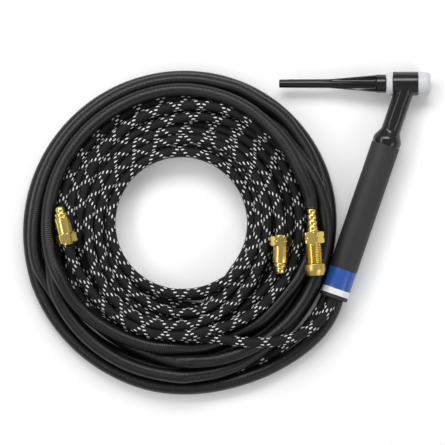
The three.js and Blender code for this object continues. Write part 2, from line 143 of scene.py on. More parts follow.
class Finish:
    """A procedural material: a shader, and helpers that add its patterns."""

    def __init__(self, name, colour, roughness, metallic=0.0):
        self.name = name
        self.material = bpy.data.materials.new(name)
        self.material.use_nodes = True
        self.tree = self.material.node_tree
        self.shader = self.tree.nodes["Principled BSDF"]
        self.colour = colour
        self.roughness = roughness
        self.shader.inputs["Base Color"].default_value = (*colour, 1)
        self.shader.inputs["Roughness"].default_value = roughness
        self.shader.inputs["Metallic"].default_value = metallic
        self.ways = self.tree.nodes.new("ShaderNodeTexCoord")

    def add(self, kind, **values):
        node = self.tree.nodes.new(kind)
        for key, value in values.items():
            setattr(node, key, value)
        return node

    def link(self, a, b):
        self.tree.links.new(a, b)

    def noise(self, scale, detail=3.0, place=None):
        node = self.add("ShaderNodeTexNoise")
        node.inputs["Scale"].default_value = scale
        node.inputs["Detail"].default_value = detail
        self.link(place or self.ways.outputs["Object"], node.inputs["Vector"])
        return node.outputs["Fac"]

    def math(self, operation, a, b=0.0):
        node = self.add("ShaderNodeMath", operation=operation)
        for socket, value in zip(node.inputs, (a, b)):
            if isinstance(value, (int, float)):
                socket.default_value = value
            else:
                self.link(value, socket)
        return node.outputs[0]

    def spread(self, source, low, high):
        node = self.add("ShaderNodeMapRange")
        node.inputs["To Min"].default_value = low
        node.inputs["To Max"].default_value = high
        self.link(source, node.inputs["Value"])
        return node.outputs["Result"]

    def blended(self, low, high, share):
        """The colour goes from one to the other as a pattern does from 0 to 1."""
        mix = self.add("ShaderNodeMix", data_type="RGBA")
        mix.inputs[6].default_value = (*low, 1)
        mix.inputs[7].default_value = (*high, 1)
        self.link(share, mix.inputs[0])
        self.link(mix.outputs[2], self.shader.inputs["Base Color"])
        return self

    def mottled(self, scale, share):
        """The colour varies a little from place to place."""
        low = [c * (1 - share) for c in self.colour]
        high = [min(1, c * (1 + share)) for c in self.colour]
        return self.blended(low, high, self.noise(scale))

    def worn(self, scale, spread):
        """The roughness varies a little from place to place."""
        low, high = self.roughness - spread, self.roughness + spread
        self.link(self.spread(self.noise(scale, 5.0), low, high), self.shader.inputs["Roughness"])
        return self

    def bump(self, height, distance, strength=1.0):
        node = self.add("ShaderNodeBump")
        node.inputs["Distance"].default_value = distance
        node.inputs["Strength"].default_value = strength
        self.link(height, node.inputs["Height"])
        self.link(node.outputs["Normal"], self.shader.inputs["Normal"])
        return self

    def grained(self, scale, distance, strength=1.0):
        return self.bump(self.noise(scale, 4.0), distance, strength)

    def machined(self, scale, distance):
        """Fine lines round the piece's own axis."""
        stretch = self.add("ShaderNodeMapping")
        stretch.inputs["Scale"].default_value = (0.02, 1.0, 0.02)
        self.link(self.ways.outputs["Object"], stretch.inputs["Vector"])
        return self.bump(self.noise(scale, 4.0, stretch.outputs[0]), distance, 0.5)

    def along_and_round(self):
        """How far along a hose a point is, in metres, and its share of the way round."""
        parts = self.add("ShaderNodeSeparateXYZ")
        self.link(self.ways.outputs["UV"], parts.inputs[0])
        return parts.outputs["X"], parts.outputs["Y"]

    def wave(self, source, cycles):
        return self.math("SINE", self.math("MULTIPLY", source, 2 * math.pi * cycles))


# Metres between the ribs of the rubber and between the braid's yarns, and the yarns round the hose.
RIB_STEP = 0.0021
YARN_STEP = 0.00205
YARNS = 12


def rubber_finish():
    """Extruded rubber with faint ribs across it."""
    finish = Finish("hose_rubber", (0.005, 0.005, 0.0055), 0.34).mottled(60, 0.25).worn(25, 0.07)
    along, _ = finish.along_and_round()
    ribs = finish.wave(along, 1 / RIB_STEP)
    grain = finish.math("MULTIPLY", finish.noise(900), 1.3)
    finish.bump(finish.math("ADD", ribs, grain), 0.00012, 0.8)
    finish.shader.inputs["Specular IOR Level"].default_value = 0.38
    return finish.material


def braid_finish():
    """Black yarns crossing on the two diagonals, with painted shade darkening the gaps between them."""
    finish = Finish("braid", (0.014, 0.014, 0.016), 0.7).worn(120, 0.08)
    along, around = finish.along_and_round()
    runs, turns = finish.math("MULTIPLY", along, 1 / YARN_STEP), finish.math("MULTIPLY", around, YARNS)
    one, two = finish.math("ADD", runs, turns), finish.math("SUBTRACT", runs, turns)
    weave = finish.math("MULTIPLY", finish.wave(one, 0.5), finish.wave(two, 0.5))
    finish.bump(weave, 0.00022, 0.8)
    finish.shader.inputs["Specular IOR Level"].default_value = 0.25
    # Painted shade: the colour is darkest along the gaps between the yarns, where the weave crosses zero,
    # and lighter on the yarns' crowns.
    share = finish.spread(finish.math("ABSOLUTE", weave), 0.0, 1.0)
    finish.blended((0.003, 0.003, 0.0035), (0.012, 0.012, 0.0135), share)
    return finish.material


FINISHES = [
    Finish("gloss_black", (0.007, 0.007, 0.0075), 0.17)
    .worn(180, 0.04).grained(1500, 0.00002, 0.3),
    Finish("handle_black", (0.018, 0.017, 0.019), 0.62)
    .mottled(900, 0.18).grained(2600, 0.00008, 0.6),
    Finish("white_insulator", (0.56, 0.565, 0.585), 0.45)
    .mottled(120, 0.03).grained(1200, 0.00003, 0.3),
    Finish("brass", (0.80, 0.61, 0.18), 0.2, 1.0).worn(500, 0.06).machined(1800, 0.00002),
    Finish("dull_brass", (0.64, 0.47, 0.14), 0.36, 1.0).worn(400, 0.08).machined(1400, 0.00004),
    Finish("copper", (0.72, 0.36, 0.22), 0.3, 1.0).worn(300, 0.08).grained(900, 0.00003, 0.4),
    Finish("label_blue", (0.022, 0.085, 0.36), 0.28).mottled(40, 0.05).worn(200, 0.05),
    Finish("label_white", (0.80, 0.81, 0.83), 0.3).mottled(40, 0.02).worn(200, 0.05),
    Finish("tracer", (0.74, 0.74, 0.74), 0.75).mottled(700, 0.12).grained(3000, 0.00005, 0.5),
    Finish("seal_rubber", (0.016, 0.016, 0.017), 0.5).mottled(300, 0.2).grained(900, 0.00003, 0.4),
]
MATERIALS = {finish.name: finish.material for finish in FINISHES}
MATERIALS["hose_rubber"] = rubber_finish()
MATERIALS["braid"] = braid_finish()

# ---- Meshes ----


def placed(name, mesh, at, body, replaces=()):
    """A mesh as a piece of the object: where it is, what it moves with and what it stands for."""
    piece = bpy.data.objects.new(name, mesh)
    piece.matrix_world = at
    bpy.context.scene.collection.objects.link(piece)
    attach(piece, body)
    if replaces:
        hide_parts(*replaces)
    return piece


def smooth_mesh(name, points, faces, finish):
    """A smooth-shaded mesh in metres from points in mm."""
    mesh = bpy.data.meshes.new(name)
    mesh.from_pydata((np.asarray(points).reshape(-1, 3) * MM).tolist(), [], faces)
    mesh.materials.append(MATERIALS[finish])
    mesh.polygons.foreach_set("use_smooth", [True] * len(mesh.polygons))
    return mesh


def mesh_of(name, points, faces, finish, sharp):
    """A smooth mesh with its normals outwards, where edges sharper than an angle stay crisp."""
    mesh = smooth_mesh(name, points, faces, finish)
    outwards = bmesh.new()
    outwards.from_mesh(mesh)
    bmesh.ops.recalc_face_normals(outwards, faces=outwards.faces)
    outwards.to_mesh(mesh)
    outwards.free()
    mesh.set_sharp_from_angle(angle=math.radians(sharp))
    return mesh


def made(name, shell, finish, at, body, node, sharp=32.0):
    """A piece from points and faces, in one finish. It stands for one CAD node."""
    mesh = mesh_of(name, *shell, finish, sharp)
    return placed(name, mesh, at, body, [node])


def rounded(profile):
    """A closed profile of (radius, y, cut): each corner is rounded over its own cut in mm."""
    corners = [np.array(p[:2], float) for p in profile]
    out = []
    for i, corner in enumerate(profile):
        here, before, after = corners[i], corners[i - 1], corners[(i + 1) % len(corners)]
        back, on = before - here, after - here
        cut = corner[2] if len(corner) > 2 else 0.0
        cut = min(cut, 0.48 * np.hypot(*back), 0.48 * np.hypot(*on))
        if cut < 1e-6:
            out.append(here)
            continue
        a, b = here + back / np.hypot(*back) * cut, here + on / np.hypot(*on) * cut
        for t in (0, 0.25, 0.5, 0.75, 1):
            out.append((1 - t) ** 2 * a + 2 * t * (1 - t) * here + t * t * b)
    return [(float(r), float(y)) for r, y in out]


def bands(rings):
    """The faces between each ring of points and the next. A ring of one point is a tip."""
    faces = []
    for a, b in zip(rings, rings[1:]):
        sides = max(len(a), len(b))
        for i in range(sides):
            j = (i + 1) % sides
            if len(a) == 1:
                faces.append((a[0], b[j], b[i]))
            elif len(b) == 1:
                faces.append((a[i], a[j], b[0]))
            else:
                faces.append((a[i], a[j], b[j], b[i]))
    return faces


def turned(rows, sides=96):
    """Points and faces of a surface about Y. Each row is (radius, y), the same all round or not."""
    angles = np.arange(sides) * 2 * math.pi / sides
    points, rings = [], []
    for radius, y in rows:
        if np.ndim(radius) == 0 and radius < 1e-9:
            rings.append([len(points)])
            points.append((0.0, y, 0.0))
            continue
        reach = np.broadcast_to(radius, sides)
        rings.append(list(range(len(points), len(points) + sides)))
        points += list(zip(reach * np.sin(angles), np.full(sides, y), reach * np.cos(angles)))
    return np.array(points, float), bands(rings + rings[:1] if len(rings[0]) > 1 else rings)


def join(*shells):
    """Several shells as one set of points and faces."""
    points, faces, base = [], [], 0
    for shell, corners in shells:
        points.append(np.asarray(shell, float))
        faces += [tuple(base + c for c in face) for face in corners]
        base += len(shell)
    return np.concatenate(points), faces


# ---- Hoses: where they lie ----

POWER_R = 6.75
BRAID_R = 4.9
COIL_CENTRE = np.array([-171.8, -40.9])
NODE_STEP = 5.0

# No hose's centre line comes nearer than this to the middle of the hole in the coil.
HOLE_CENTRE = np.array([-173.5, -36.0])
HOLE_R = 70.6

# Each hose's turns, clockwise from above, as stretches of (layer, [(angle, radius), ...]) in degrees
# and mm about the coil's centre. A stretch of a higher layer lies on those of the lower layers.
# OUTLINE is the layer that keeps the coil's outer edge, and those in BURIED are out of sight.
POWER_TURNS = [
    (2.0, [(243, 158.3), (210, 156), (180, 153.6), (150, 151.6), (120, 150.8), (90, 151), (60, 151.6),
        (30, 150.2), (0, 147.2), (345, 145.2), (330, 144.3), (310, 144.3), (290, 148)]),
    (3.2, [(270, 148.2), (240, 147), (216, 144.4), (197, 141), (180, 137.5), (150, 136), (120, 136),
        (90, 135), (70, 133.5)]),
    (3.3, [(48, 133), (30, 137.5), (12, 142), (0, 143.5)]),
    (3.5, [(340, 142.5), (310, 140.5), (286, 137), (273, 134), (255, 130)]),
    (1.9, [(230, 127), (200, 123.5), (150, 122), (120, 121.5), (90, 121.5), (60, 122), (30, 125),
        (0, 129.5)]),
    (1.95, [(340, 131.5), (315, 130.5), (290, 129.8)]),
    (1.9, [(270, 133.5), (250, 138.5), (232, 142.5), (221, 145)]),
    (2.9, [(213, 147), (196, 148.2), (180, 147.5), (150, 147.3), (120, 147.8), (90, 149), (60, 148.3),
        (35, 146.5)]),
    (2.85, [(15, 142), (0, 135.5), (345, 127)]),
    (7.0, [(330, 120.5), (300, 119), (270, 121.5), (240, 125), (220, 130.5), (210, 133), (197, 135.5),
        (180, 136), (150, 137), (120, 138), (90, 139), (60, 135.5), (30, 131), (21, 129.3)]),
]
WATER_TURNS = [
    (1.0, [(271, 125), (262, 114), (252, 104.5), (240, 97), (225, 92)]),
    (1.2, [(200, 89), (150, 89), (90, 89.5), (30, 89.5), (340, 89), (320, 88), (300, 85), (287, 83.5),
        (271, 79.5), (253, 76.5), (235, 75), (218, 76), (200, 77)]),
    (1.4, [(180, 79), (150, 79.5), (90, 80), (30, 80), (335, 80), (317, 80), (298, 77.5), (281, 73),
        (265, 70.5), (245, 70), (220, 71)]),
    (1.6, [(200, 73), (170, 74), (130, 75.5), (100, 76), (70, 73), (50, 71), (30, 69), (0, 69),
        (330, 70)]),
    (1.8, [(310, 74), (285, 83), (240, 85), (180, 85), (90, 85), (30, 84), (355, 82), (330, 77)]),
    (5.1, [(310, 75), (295, 82), (281, 86.5), (266, 86), (250, 84), (233, 82), (215, 81), (195, 80),
        (165, 80.5), (135, 82), (110, 84), (95, 85), (80, 86), (65, 85.5), (50, 83.5), (33, 81),
        (17, 78.5), (359, 76.5), (341, 74), (322, 71), (302, 68.5), (282, 66.5), (261, 66), (240, 66.5),
        (219, 68), (200, 69.5), (180, 70.5), (167, 71.5), (151, 74.5), (134, 76.5), (117, 78),
        (101, 78.5), (85, 77.5), (68, 76), (52, 74), (36, 71), (20, 68.5), (5, 66.5)]),
    (3.9, [(350, 65.5), (335, 65), (320, 66)]),
    (4.5, [(300, 74), (285, 85), (270, 92)]),
    (6.2, [(245, 93), (235, 91.5), (220, 90), (205, 87), (190, 85.5), (175, 85.5), (160, 86), (145, 86.5),
        (130, 87.5), (112, 88.5), (100, 89), (84, 91), (70, 92), (57, 91.5), (42, 89.5), (30, 88),
        (20, 87), (10, 86), (0, 84.5)]),
    (8.0, [(346, 84.5), (332, 85.5), (317, 88), (303, 91), (288, 95), (273, 98), (260, 100), (246, 101),
        (230, 100), (210, 98), (190, 96), (170, 95), (150, 95), (130, 96), (105, 97.5), (78, 98.5),
        (60, 98.5), (45, 98.5), (30, 97.5), (17, 97), (7, 97)]),
]
GAS_TURNS = [
    (5.7, [(272, 110.5), (255, 110.5), (240, 112), (230, 113)]),
    (5.0, [(220, 115), (200, 119), (188, 122), (175, 123.5), (161, 124), (150, 125.5), (129, 127),
        (114, 128), (93, 130), (84, 130), (70, 129), (50, 127), (30, 124), (14, 122), (0, 120),
        (345, 117)]),
    (5.2, [(330, 115), (310, 112), (290, 111), (270, 112), (250, 113), (231, 115.5), (220, 118),
        (209, 120.5), (199, 122), (188, 120), (175, 114.5), (160, 116), (147, 118.5), (136, 120),
        (125, 122), (111, 122.5), (99, 122), (80, 119), (50, 114), (20, 109), (350, 105)]),
    (5.3, [(335, 104), (270, 103.5), (180, 104), (90, 103.5), (30, 104), (350, 104)]),
    (5.4, [(320, 103.5), (270, 102), (240, 102), (200, 103), (150, 104), (115, 101), (96, 101), (83, 104),
        (70, 106.5), (58, 108.5), (46, 109.5), (34, 110), (22, 109.5), (10, 108.5), (355, 107),
        (340, 105.5)]),
    (5.6, [(325, 104), (300, 102), (270, 103), (240, 105), (215, 104), (187, 103.5), (174, 104),
        (161, 106.5), (148, 109), (135, 112.5), (123, 116), (111, 119), (99, 121.5), (89, 123.5),
        (78, 126), (68, 127.5), (57, 128.5), (46, 128.5), (36, 128), (25, 127), (14, 124.5), (0, 121),
        (345, 118)]),
    (5.8, [(330, 115), (310, 110), (290, 106), (270, 104), (240, 104), (200, 103), (170, 101.5),
        (150, 100.5), (138, 101)]),
    (8.0, [(125, 102.5), (112, 105.5), (99, 109), (88, 112), (77, 115), (66, 117), (55, 119), (43, 120),
        (32, 120), (21, 119), (10, 118.5), (358, 117.5), (346, 116), (334, 114.5), (322, 113), (311, 111),
        (298, 108.5), (285, 107), (273, 107), (262, 108.5), (251, 110), (240, 110.5), (228, 111),
        (216, 112), (204, 113.5), (196, 115)]),
]

OUTLINE = 2.0
BURIED = (1.0, 1.2, 1.4, 1.6, 1.8, 1.9, 2.85, 5.2, 5.3, 5.8)
FITTING_LAYER = 8.9

# From the handle's mouth to the coil, seen from above.
POWER_LEAD = [(-21, -125.2), (-31.3, -141.4), (-45.3, -155.9), (-63.8, -169.4), (-85.3, -181.2),
              (-109.8, -190.9), (-135.8, -197.9), (-162.8, -201.3), (-194, -200), (-222, -192.5)]
WATER_LEAD = [(-34, -120.6), (-42.5, -133.6), (-54.5, -147), (-69, -158.4), (-83, -169),
              (-96, -177), (-112, -183), (-130, -184.5), (-150, -180)]
GAS_LEAD = [(-24.6, -119.3), (-31.5, -132), (-45.8, -144.5), (-64.8, -152.4), (-86.8, -155.9),
            (-109.8, -155.9), (-133.3, -151.9), (-152, -149.5)]


def in_grip(place, along):
    """A point in the handle: place is (distance from its axis, angle in degrees from the left)."""
    out, turn = place[0], math.radians(place[1])
    return np.array(GRIP @ (Vector((out * math.cos(turn), along, out * math.sin(turn))) * MM)) / MM


def smoothed(rows, reach):
    """Evenly spaced rows, each blended with its neighbours; the first and last stay put."""
    n = int(3 * reach) + 1
    share = np.exp(-0.5 * (np.arange(-n, n + 1) / reach) ** 2)
    share /= share.sum()
    more = np.concatenate([2 * rows[0] - rows[n:0:-1], rows, 2 * rows[-1] - rows[-2 : -n - 2 : -1]])
    return np.stack([np.convolve(column, share, "valid") for column in more.T], 1)


def through(x, y, at):
    """A smooth curve through points, read at other places."""
    step = np.diff(x)
    slope = np.diff(y) / step
    rise = np.zeros(len(y))
    rise[1:-1] = (slope[:-1] * step[1:] + slope[1:] * step[:-1]) / (step[1:] + step[:-1])
    rise[0], rise[-1] = slope[0], slope[-1]
    i = np.clip(np.searchsorted(x, at, side="right") - 1, 0, len(step) - 1)
    t = (at - x[i]) / step[i]
    a = 2 * t**3 - 3 * t**2 + 1
    start, end = (t**3 - 2 * t**2 + t) * step[i], (t**3 - t**2) * step[i]
    return a * y[i] + (1 - a) * y[i + 1] + start * rise[i] + end * rise[i + 1]


def lengths(points):
    """How far along a line each of its points is."""
    steps = np.linalg.norm(np.diff(points, axis=0), axis=1)
    return np.concatenate([[0], np.cumsum(steps)])


ALONG_GRIP = (140, 155, 170, 185, 200, 212, 222, 230.8)


def plan(place, start, lead, turns, fitting, reach, lead_layer):
    """A hose's line from above, its layers, and its heights where they are known, at even steps."""
    rows = []
    for along in [start] + [a for a in ALONG_GRIP if a > start]:
        x, y, z = in_grip(place, along)
        rows.append((x, y, lead_layer, z))
    rows += [(x, y, lead_layer, np.nan) for x, y in lead]
    angles, reaches, layers = [], [], []
    for layer, knots in turns:
        for angle, radius in knots:
            while angles and angle > angles[-1]:
                angle -= 360
            angles.append(float(angle))
            reaches.append(float(radius))
            layers.append(layer)
    fine = np.arange(angles[0], angles[-1], -1.5)
    radius = smoothed(through(-np.array(angles), np.array(reaches), -fine)[:, None], 3)[:, 0]
    layer = np.array(layers)[np.searchsorted(-np.array(angles), -fine, side="right") - 1]
    for angle, r, q in zip(np.radians(fine), radius, layer):
        rows.append((*(COIL_CENTRE + r * np.array([math.cos(angle), math.sin(angle)])), q, np.nan))
    origin = np.array(fitting[0])
    axis = np.array([-math.sin(fitting[1]), math.cos(fitting[1]), 0.0])
    for back in (22, 12, 4, -reach):
        x, y, z = origin - axis * back
        rows.append((x, y, FITTING_LAYER, z if back < 13 else np.nan))
    rows = np.array(rows)
    run = lengths(rows[:, :2])
    at = np.linspace(0, run[-1], int(round(run[-1] / NODE_STEP)) + 1)
    flat = np.stack([np.interp(at, run, rows[:, k]) for k in (0, 1)], 1)
    layer = rows[np.clip(np.searchsorted(run, at), 0, len(run) - 1), 2]
    height = np.interp(at, run, rows[:, 3])
    known = ~np.isnan(height)
    share = np.clip(smoothed(known.astype(float)[:, None], 1.5), 0, 1)
    return flat * share + smoothed(flat, 2.2) * (1 - share), layer, height


# Added to a hose's number to give that of its fitting.
FITTING = 9


def beads(fitting, owner, sizes):
    """Balls of (distance along the fitting, radius) that stand for a fitting in the pile."""
    (x, y, z), lean = fitting
    return [(x - math.sin(lean) * a, y + math.cos(lean) * a, z, r, owner) for a, r in sizes]


SMALL = [(1, 11.6), (5, 11.6), (9, 11.3), (14, 8.3), (20, 8.3), (26, 8.3), (31, 6.5), (36, 4)]
LARGE = [(2, 5.5), (10, 5.5), (18, 6), (26, 11.6), (34, 11.6), (42, 9), (50, 9), (58, 10.4), (64, 9.5)]
FITTING_BEADS = [
    *beads(POWER_FITTING, 0, LARGE),
    *beads(WATER_FITTING, 1, SMALL),
    *beads(GAS_FITTING, 2, SMALL),
]

# Nodes of one hose nearer than this in the row don't push each other.
NEIGHBOURS = 5
# Rounds of settling.
ROUNDS, QUICK_ROUNDS, LAST_ROUNDS = 240, 60, 60
# Nodes at each hose's end that lie inside its own fitting.
IN_FITTING = 9


class Pile:
    """All the hoses as rows of nodes that are laid on each other and settle."""

    def __init__(self, hoses):
        balls = np.array(FITTING_BEADS)
        numbers = balls[:, 4] + FITTING
        self.flat = np.concatenate([flat for flat, _, _, _ in hoses] + [balls[:, :2]])
        self.layer = np.concatenate([layer for _, layer, _, _ in hoses] + [numbers])
        self.radius = np.concatenate([np.full(len(h[0]), h[3]) for h in hoses] + [balls[:, 3]])
        self.hose = np.concatenate([np.full(len(h[0]), i) for i, h in enumerate(hoses)] + [numbers])
        height = np.concatenate([height for _, _, height, _ in hoses] + [balls[:, 2]])
        self.last = np.zeros(len(self.flat), bool)
        self.pinned = ~np.isnan(height)
        self.at = np.c_[self.flat, np.where(self.pinned, height, self.radius)]
        self.spans = [np.nonzero(self.hose == i)[0] for i in range(len(hoses))]
        for span in self.spans:
            self.last[span[-IN_FITTING:]] = True
        buried = np.isin(self.layer, BURIED)
        outline = self.layer == OUTLINE
        # How well a node keeps to its plan, and its share of the way when two are pushed apart.
        self.hold = np.where(buried, 0.985, np.where(outline, 0.6, 0.85))
        self.give = np.where(self.pinned, 0.0, np.where(buried, 1.0, np.where(outline, 0.08, 0.45)))

    def lay(self):
        """First heights: each node goes down on what is already there, lowest layer first."""
        index = np.arange(len(self.at))
        done = np.zeros(len(self.at), bool)
        for i in np.lexsort((index, self.layer)):
            if not self.pinned[i]:
                under = np.nonzero(done)[0]
                apart = (self.hose[under] != self.hose[i]) | (np.abs(under - i) > NEIGHBOURS)
                under = under[apart]
                gap = np.hypot(*(self.at[under, :2] - self.at[i, :2]).T)
                reach = (self.radius[under] + self.radius[i]) * 0.96
                near = gap < reach
                if near.any():
                    tops = self.at[under, 2][near] + np.sqrt(reach[near] ** 2 - gap[near] ** 2)
                    self.at[i, 2] = max(self.radius[i], tops.max())
                done[i] = True
        for span in self.spans:
            free = span[~self.pinned[span]]
            self.at[free, 2] = smoothed(self.at[span, 2][:, None], 3)[~self.pinned[span], 0]
        for x, y, z, r, owner in FITTING_BEADS:
            apart = np.hypot(self.at[:, 0] - x, self.at[:, 1] - y)
            under = ~self.pinned & (apart < r + self.radius) & ~(self.last & (self.hose == owner))
            ceiling = z - np.sqrt(np.maximum((r + self.radius) ** 2 - apart**2, 0))
            self.at[under, 2] = np.minimum(self.at[under, 2], ceiling[under])

    def near(self, margin):
        """Pairs of nodes close enough to touch."""
        first, second = [], []
        for low in range(0, len(self.at), 600):
            part = self.at[low : low + 600]
            apart = ((part[:, None] - self.at[None]) ** 2).sum(-1)
            reach = (self.radius[low : low + 600, None] + self.radius[None] + margin) ** 2
            i, j = np.nonzero(apart < reach)
            i += low
            other = (self.hose[i] != self.hose[j]) | (np.abs(i - j) > NEIGHBOURS)
            own = self.last[i] & (self.hose[j] == self.hose[i] + FITTING)
            keep = (i < j) & other & ~own & ~(self.pinned[i] & self.pinned[j])
            first.append(i[keep])
            second.append(j[keep])
        return np.concatenate(first), np.concatenate(second)

    def directions(self):
        """The way that the hose runs at each node."""
        way = np.zeros_like(self.at)
        for span in self.spans:
            way[span] = np.gradient(self.at[span], axis=0)
        return way / np.maximum(np.linalg.norm(way, axis=1), 1e-9)[:, None]

    def part(self, i, j, way):
        """Pushes touching hoses apart, square to the way they run, and off the floor."""
        apart = self.at[j] - self.at[i]
        same = (way[i] * way[j]).sum(1)
        run = way[i] + way[j] * np.sign(same)[:, None]
        run /= np.maximum(np.linalg.norm(run, axis=1), 1e-6)[:, None]
        along = (apart * run).sum(1)
        beside = np.abs(same) > 0.9
        across = np.where(beside[:, None], apart - along[:, None] * run, apart)
        gap = np.linalg.norm(across, axis=1)
        deep = self.radius[i] + self.radius[j] - gap
        hit = (deep > 0) & ((np.abs(along) < NODE_STEP * 0.75) | ~beside)
        i, j, across, gap, deep = i[hit], j[hit], across[hit], gap[hit], deep[hit]
        give = self.give[i] + self.give[j]
        push = (deep / np.maximum(give, 1e-6) / np.maximum(gap, 1e-6))[:, None] * across
        moves, count = np.zeros_like(self.at), np.zeros(len(self.at))
        np.add.at(moves, i, -push * self.give[i][:, None])
        np.add.at(moves, j, push * self.give[j][:, None])
        np.add.at(count, i, 1)
        np.add.at(count, j, 1)
        self.at += moves / np.maximum(count, 1)[:, None] * np.minimum(count, 1.6)[:, None]
        self.at[:, 2] = np.where(self.pinned, self.at[:, 2], np.maximum(self.at[:, 2], self.radius))
        off = self.at[:, :2] - HOLE_CENTRE
        reach = np.linalg.norm(off, axis=1)
        self.at[:, :2] = HOLE_CENTRE + off * (np.maximum(reach, HOLE_R) / reach)[:, None]

    def stiffen(self, reaches):
        """A hose resists bending: it spreads its departure from the plan along itself."""
        for span in self.spans:
            free = (~self.pinned[span]).astype(float)[:, None]
            off = self.at[span].copy()
            off[:, :2] -= self.flat[span]
            for g in reaches:
                bend = np.zeros_like(off)
                near = 4 * (off[g : -3 * g] + off[3 * g : -g])
                bend[2 * g : -2 * g] = (near - off[: -4 * g] - off[4 * g :]) / 6 - off[2 * g : -2 * g]
                off += 0.4 * bend * free
            bend = np.zeros_like(off)
            bend[1:-1] = (off[:-2] + off[2:]) / 2 - off[1:-1]
            off += 0.15 * bend * free
            off[:, :2] *= np.where(free > 0, self.hold[span][:, None], 1)
            off[:, :2] += self.flat[span]
            self.at[span] = np.where(free > 0, off, self.at[span])

    def ease(self, share):
        """A hose doesn't rise or fall steeply: it bridges dips and goes over others in long humps."""
        for span in self.spans:
            free = span[~self.pinned[span]]
            reach = 5.0 if self.radius[span[0]] > 6 else 3.0
            level = smoothed(self.at[span, 2][:, None], reach)[~self.pinned[span], 0]
            self.at[free, 2] += share * (level - self.at[free, 2])

    def settle(self, rounds):
        """The pile falls and is pushed apart, round by round, and ends with pushes alone."""
        for n in range(rounds):
            if n % 10 == 0:
                i, j = self.near(4.0)
            way = self.directions()
            falling = n < rounds * 0.8
            if falling:
                self.at[~self.pinned, 2] -= 0.3 if n < rounds * 0.5 else 0.15
            self.stiffen((4, 2, 1, 2, 4) if falling else (2, 1))
            self.ease(0.3 if falling else 0.15)
            for _ in range(3):
                self.part(i, j, way)
        for n in range(LAST_ROUNDS):
            if n % 4 == 0 and n < LAST_ROUNDS - 20:
                self.stiffen((2, 1))
            self.part(i, j, way)


def hose_lines():
    """The three hoses' centre lines, in mm, at even steps of half a node."""
    hoses = [
        (*plan((5.6, 225), 101.3, POWER_LEAD, POWER_TURNS, POWER_FITTING, -0.3, 2.0), POWER_R),
        (*plan((7.57, 1.6), 121.3, WATER_LEAD, WATER_TURNS, WATER_FITTING, 7.7, 1.0), BRAID_R),
        (*plan((7.57, 88.4), 141.3, GAS_LEAD, GAS_TURNS, GAS_FITTING, 7.7, 8.5), BRAID_R),
    ]
    pile = Pile(hoses)
    pile.lay()
    pile.settle(ROUNDS)
    lines = []
    for span in pile.spans:
        nodes = pile.at[span]
        run = lengths(nodes)
        at = np.linspace(0, run[-1], 2 * len(nodes))
        line = np.stack([through(run, column, at) for column in nodes.T], 1)
        line[:, 2] = np.maximum(line[:, 2], pile.radius[span[0]])
        lines.append(line)
    return lines


# ---- Hoses: their surfaces ----


def carried(line):
    """Two directions square to a line at each of its points, carried along it without twist."""
    way = np.gradient(line, axis=0)
    way /= np.linalg.norm(way, axis=1)[:, None]
    side = np.cross(way[0], (0.0, 0.0, 1.0))
    sides = []
    for w in way:
        side = side - w * (side @ w)
        side = side / np.linalg.norm(side)
        sides.append(side)
    sides = np.array(sides)
    return sides, np.cross(sides, way)


def hose_mesh(name, line, radius, sides, material):
    """A tube with flat ends, with how far along it and round it a point is as its UV map."""
    across, up = carried(line)
    angles = np.arange(sides) * 2 * math.pi / sides
    rings = (
        line[:, None]
        + radius * np.cos(angles)[None, :, None] * across[:, None]
        + radius * np.sin(angles)[None, :, None] * up[:, None]
    )
    count = len(line)
    row = np.arange(count - 1)[:, None] * sides
    i = np.arange(sides)[None]
    j = (i + 1) % sides
    quads = np.stack([row + i, row + sides + i, row + sides + j, row + j], -1).reshape(-1, 4)
    ends = [tuple(range(sides)), tuple(range((count - 1) * sides, count * sides))[::-1]]
    mesh = smooth_mesh(name, rings, quads.tolist() + ends, material)
    run = lengths(line) * MM
    along = np.stack([run[:-1], run[1:], run[1:], run[:-1]], 1)
    around = np.arange(sides)[:, None] + [[0, 0, 1, 1]]
    layer = np.zeros((len(mesh.loops), 2))
    layer[: quads.size, 0] = np.repeat(along[:, None], sides, 1).reshape(-1)
    layer[: quads.size, 1] = np.tile(around / sides, (count - 1, 1)).reshape(-1)
    mesh.uv_layers.new(name="along_round").data.foreach_set("uv", layer.reshape(-1))
    mesh.set_sharp_from_angle(angle=math.radians(60))
    return mesh


# The white yarns: mm in one turn round the hose, and the stitches seen in it. Each stitch is a low
# eight-sided button with its half length, half width, height and lean, and a smaller top.
TRACER_PITCH = 24.5
STITCHES = 9
STITCH = (2.0, 0.7, 0.26, math.radians(10))
STITCH_TOP = 0.55


def tracer_mesh(name, line, radius):
    """Two white yarns wound opposite ways, each shown as the stitches where it comes to the top."""
    across, up = carried(line)
    run = lengths(line)
    at = np.arange(2.0, run[-1] - 2.0, TRACER_PITCH / STITCHES)
    middle, across, up = (
        np.stack([np.interp(at, run, column) for column in rows.T], 1) for rows in (line, across, up)
    )
    way = np.cross(across, up)
    outline = np.arange(8) * math.pi / 4
    half_long, half_wide, thick, slant = STITCH
    long, wide = half_long * np.cos(outline), half_wide * np.sin(outline)
    points, faces = [], []
    for hand in (1, -1):
        turn = hand * 2 * math.pi * (at - at[0]) / TRACER_PITCH + math.pi / 2
        lean = hand * slant
        forward = long * math.cos(lean) - wide * math.sin(lean)
        aside = long * math.sin(lean) + wide * math.cos(lean)
        for height, size in ((-0.05, 1.0), (thick, STITCH_TOP)):
            around = turn[:, None] + size * aside[None] / radius
            reach = radius + height
            points.append(
                middle[:, None]
                + way[:, None] * size * forward[None, :, None]
                + reach * np.cos(around)[..., None] * across[:, None]
                + reach * np.sin(around)[..., None] * up[:, None]
            )
    count = len(at)
    for half in (0, 1):
        low, high = 2 * half * count * 8, (2 * half + 1) * count * 8
        for n in range(count):
            a, b = low + 8 * n, high + 8 * n
            for i in range(8):
                j = (i + 1) % 8
                faces.append((a + i, a + j, b + j, b + i))
            faces.append(tuple(range(b, b + 8)))
    return smooth_mesh(name, np.concatenate(points), faces, "tracer")


ROOT = Matrix.Identity(4)
power_line, water_line, gas_line = hose_lines()


